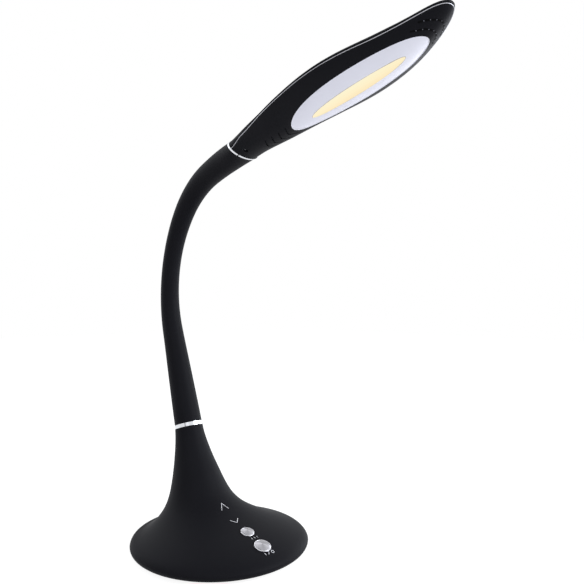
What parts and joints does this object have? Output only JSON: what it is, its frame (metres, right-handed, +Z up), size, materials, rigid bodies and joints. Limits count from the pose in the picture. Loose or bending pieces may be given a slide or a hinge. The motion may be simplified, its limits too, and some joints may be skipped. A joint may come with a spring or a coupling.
{
  "type": "gooseneck desk lamp",
  "caption": "Desk lamp with a round trumpet foot, a bendable gooseneck in a tapering rubber sleeve and a leaf-shaped light head with a glowing window.",
  "frame": {"origin": "on the table under the centre of the round foot, in the plane of the rubber feet's undersides", "axes": "+Z up; +X towards the buttons and the overhanging head; +Y across, so the lamp is symmetric about y = 0"},
  "size_m": [0.3783, 0.176, 0.4511],
  "materials": {
    "soft_black": "soft-touch matt black",
    "cover_black": "fine-grained matt black",
    "neck_rubber": "smooth matt black rubber",
    "foot_rubber": "matt dark rubber",
    "steel": "zinc-plated",
    "core_steel": "wound steel",
    "ring_chrome": "polished chrome",
    "button_silver": "satin silver with a bright edge",
    "board_green": "green solder resist",
    "switch_black": "moulded black",
    "pad_foam": "conductive foam",
    "lead_black": "black sheath",
    "panel_grey": "satin lavender grey",
    "window_milky": "milky diffuser, lit warm",
    "plate_aluminium": "bare sheet",
    "board_white": "white solder resist",
    "led_yellow": "phosphor yellow"
  },
  "bodies": {
    "base": {"base_shell": "soft_black", "base_cover": "cover_black", "ballast_plate": "steel", "rubber_feet": "foot_rubber", "cover_screws": "steel", "control_board": "board_green", "tact_switches": "switch_black", "touch_pads": "pad_foam", "power_inlet": "switch_black", "lower_ring": "ring_chrome", "neck_socket": "steel", "stem_nut": "steel", "base_lead": "lead_black", "neck_sleeve_1": "neck_rubber", "neck_core_1": "core_steel", "neck_cable": "lead_black"},
    "mode_button": {"mode_button": "button_silver"},
    "power_button": {"power_button": "button_silver"},
    "neck_1": {"neck_sleeve_2": "neck_rubber", "neck_core_2": "core_steel"},
    "neck_2": {"neck_sleeve_3": "neck_rubber", "neck_core_3": "core_steel"},
    "neck_3": {"neck_sleeve_4": "neck_rubber", "neck_core_4": "core_steel"},
    "neck_4": {"neck_sleeve_5": "neck_rubber", "neck_core_5": "core_steel"},
    "neck_5": {"neck_sleeve_6": "neck_rubber", "neck_core_6": "core_steel"},
    "neck_6": {"neck_sleeve_7": "neck_rubber", "neck_core_7": "core_steel"},
    "head": {"neck_sleeve_8": "neck_rubber", "neck_core_8": "core_steel", "head_socket": "steel", "upper_ring": "ring_chrome", "head_upper_shell": "soft_black", "head_lower_shell": "soft_black", "reflector_panel": "panel_grey", "window_lens": "window_milky", "heat_plate": "plate_aluminium", "led_board": "board_white", "led_chips": "led_yellow", "head_screws": "steel", "led_lead": "lead_black"}
  },
  "joints": [
    {"name": "bend_1", "type": "hinge", "parent": "base", "child": "neck_1", "pos_m": [-0.07387, 0, 0.14832], "axis": [0, 1, 0], "range_deg": [-20, 20], "deforming": ["neck_cable"]},
    {"name": "sway_2", "type": "hinge", "parent": "neck_1", "child": "neck_2", "pos_m": [-0.08852, 0, 0.19087], "axis": [0.9455, 0, 0.3256], "range_deg": [-20, 20], "deforming": ["neck_cable"]},
    {"name": "bend_3", "type": "hinge", "parent": "neck_2", "child": "neck_3", "pos_m": [-0.10144, 0, 0.23391], "axis": [0, 1, 0], "range_deg": [-20, 20], "deforming": ["neck_cable"]},
    {"name": "sway_4", "type": "hinge", "parent": "neck_3", "child": "neck_4", "pos_m": [-0.10195, 0, 0.27872], "axis": [0.9889, 0, -0.1483], "range_deg": [-20, 20], "deforming": ["neck_cable"]},
    {"name": "bend_5", "type": "hinge", "parent": "neck_4", "child": "neck_5", "pos_m": [-0.08833, 0, 0.3214], "axis": [0, 1, 0], "range_deg": [-20, 20], "deforming": ["neck_cable"]},
    {"name": "sway_6", "type": "hinge", "parent": "neck_5", "child": "neck_6", "pos_m": [-0.0616, 0, 0.35729], "axis": [0.6705, 0, -0.742], "range_deg": [-20, 20], "deforming": ["neck_cable"]},
    {"name": "bend_7", "type": "hinge", "parent": "neck_6", "child": "head", "pos_m": [-0.02295, 0, 0.3797], "axis": [0, 1, 0], "range_deg": [-20, 20], "deforming": ["neck_cable"]},
    {"name": "mode_button_press", "type": "slide", "parent": "base", "child": "mode_button", "axis": [-0.2498, 0, -0.9683], "range_m": [0, 0.0007], "stiffness_N_per_m": 400, "springref_m": -0.002},
    {"name": "power_button_press", "type": "slide", "parent": "base", "child": "power_button", "axis": [-0.3039, 0, -0.9527], "range_m": [0, 0.0007], "stiffness_N_per_m": 400, "springref_m": -0.002}
  ]
}
